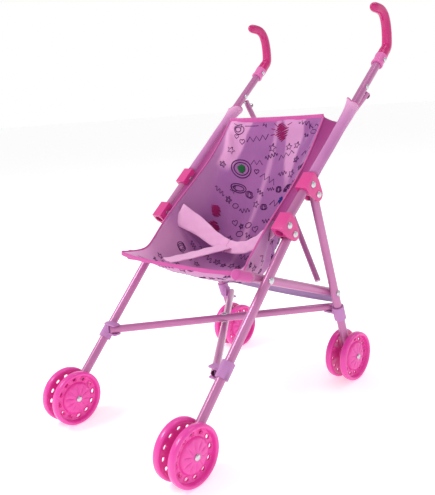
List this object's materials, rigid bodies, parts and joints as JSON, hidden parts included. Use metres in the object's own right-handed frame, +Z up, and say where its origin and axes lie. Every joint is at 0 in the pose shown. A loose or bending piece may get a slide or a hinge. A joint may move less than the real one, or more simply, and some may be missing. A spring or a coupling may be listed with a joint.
{
  "type": "doll stroller",
  "caption": "Toy umbrella-fold stroller: pink tube frame, twin plastic wheels, hooked grips and a hammock seat of thin printed fabric.",
  "frame": {"origin": "on the floor, under the middle of the whole object's box", "axes": "+Z up, the stroller faces -Y, its own left side is +X"},
  "size_m": [0.2758, 0.5224, 0.5643],
  "materials": {
    "tube_paint": "pearly orchid pink paint, soft gloss",
    "rivet_steel": "bright zinc-plated steel",
    "axle_steel": "bright zinc-plated steel",
    "bracket_plastic": "hot pink moulded plastic",
    "socket_plastic": "light pink moulded plastic",
    "grip_plastic": "dark pink glossy plastic",
    "wheel_plastic": "pink moulded plastic, glossy",
    "clip_plastic": "pale lavender plastic",
    "strap_fabric": "thin orchid fabric, hemmed",
    "seat_fabric": "thin sheer orchid fabric with dark abstract line print"
  },
  "bodies": {
    "left_side": {"handle_tube_left": "tube_paint", "front_leg_left": "tube_paint", "rear_leg_left": "tube_paint", "seat_rail_left": "tube_paint", "lower_bracket_left": "bracket_plastic", "upper_bracket_left": "bracket_plastic", "lower_bracket_rivet_front_left": "rivet_steel", "lower_bracket_rivet_leg_left": "rivet_steel", "upper_bracket_rivet_tube_left": "rivet_steel", "upper_bracket_rivet_leg_left": "rivet_steel", "rail_rivet_front_left": "rivet_steel", "rail_rivet_rear_left": "rivet_steel", "handle_socket_left": "socket_plastic", "handle_grip_left": "grip_plastic", "front_clip_left": "clip_plastic", "rear_clip_left": "clip_plastic", "brace_top_rivet_left": "rivet_steel", "seat_back": "seat_fabric", "seat_pan": "seat_fabric", "tube_sleeve_left": "seat_fabric", "seat_wing_left": "seat_fabric", "seat_wing_right": "seat_fabric", "restraint_strap": "strap_fabric", "rear_strap": "strap_fabric"},
    "right_side": {"handle_tube_right": "tube_paint", "front_leg_right": "tube_paint", "rear_leg_right": "tube_paint", "seat_rail_right": "tube_paint", "lower_bracket_right": "bracket_plastic", "upper_bracket_right": "bracket_plastic", "lower_bracket_rivet_front_right": "rivet_steel", "lower_bracket_rivet_leg_right": "rivet_steel", "upper_bracket_rivet_tube_right": "rivet_steel", "upper_bracket_rivet_leg_right": "rivet_steel", "rail_rivet_front_right": "rivet_steel", "rail_rivet_rear_right": "rivet_steel", "handle_socket_right": "socket_plastic", "handle_grip_right": "grip_plastic", "front_clip_right": "clip_plastic", "rear_clip_right": "clip_plastic", "brace_top_rivet_right": "rivet_steel", "tube_sleeve_right": "seat_fabric"},
    "lower_bar_low": {"lower_bar_low": "tube_paint"},
    "lower_bar_high": {"lower_bar_high": "tube_paint", "lower_bar_rivet": "rivet_steel"},
    "back_brace_front": {"back_brace_front": "tube_paint"},
    "back_brace_rear": {"back_brace_rear": "tube_paint", "back_brace_rivet": "rivet_steel"},
    "wheel_front_left": {"wheel_front_left_outer": "wheel_plastic", "wheel_front_left_inner": "wheel_plastic", "axle_front_left": "axle_steel"},
    "wheel_front_right": {"wheel_front_right_outer": "wheel_plastic", "wheel_front_right_inner": "wheel_plastic", "axle_front_right": "axle_steel"},
    "wheel_rear_left": {"wheel_rear_left_outer": "wheel_plastic", "wheel_rear_left_inner": "wheel_plastic", "axle_rear_left": "axle_steel"},
    "wheel_rear_right": {"wheel_rear_right_outer": "wheel_plastic", "wheel_rear_right_inner": "wheel_plastic", "axle_rear_right": "axle_steel"}
  },
  "joints": [
    {"name": "fold", "type": "hinge", "parent": "left_side", "child": "lower_bar_low", "pos_m": [0.101, -0.15092, 0.1071], "axis": [0, 0, -1], "range_deg": [0, 13], "deforming": ["seat_back", "seat_pan", "seat_wing_right", "restraint_strap", "rear_strap", "seat_wing_left"]},
    {"name": "lower_bar_crossing", "type": "hinge", "parent": "lower_bar_low", "child": "lower_bar_high", "pos_m": [0, -0.0239, 0.1189], "axis": [0, 0, 1], "range_deg": [0, 26]},
    {"name": "right_side_turn", "type": "hinge", "parent": "lower_bar_high", "child": "right_side", "pos_m": [-0.101, -0.15092, 0.1189], "axis": [0, 0, -1], "range_deg": [0, 13]},
    {"name": "back_brace_front_swing", "type": "hinge", "parent": "left_side", "child": "back_brace_front", "pos_m": [0.118, 0.18665, 0.43001], "axis": [0, 0.9513, -0.3083], "range_deg": [-10, 0]},
    {"name": "back_brace_rear_swing", "type": "hinge", "parent": "right_side", "child": "back_brace_rear", "pos_m": [-0.118, 0.19635, 0.42686], "axis": [0, 0.9513, -0.3083], "range_deg": [0, 10]},
    {"name": "wheel_front_left_spin", "type": "hinge", "parent": "left_side", "child": "wheel_front_left", "pos_m": [0.118, -0.22349, 0.038], "axis": [1, 0, 0], "continuous": true},
    {"name": "wheel_front_right_spin", "type": "hinge", "parent": "right_side", "child": "wheel_front_right", "pos_m": [-0.118, -0.22349, 0.038], "axis": [1, 0, 0], "continuous": true},
    {"name": "wheel_rear_left_spin", "type": "hinge", "parent": "left_side", "child": "wheel_rear_left", "pos_m": [0.118, 0.12651, 0.038], "axis": [1, 0, 0], "continuous": true},
    {"name": "wheel_rear_right_spin", "type": "hinge", "parent": "right_side", "child": "wheel_rear_right", "pos_m": [-0.118, 0.12651, 0.038], "axis": [1, 0, 0], "continuous": true}
  ],
  "couplings": [
    {"joint": "lower_bar_crossing", "follows": "fold", "ratio": 2},
    {"joint": "right_side_turn", "follows": "fold", "ratio": 1},
    {"joint": "back_brace_front_swing", "follows": "fold", "ratio": -0.7541},
    {"joint": "back_brace_rear_swing", "follows": "fold", "ratio": 0.7541}
  ]
}
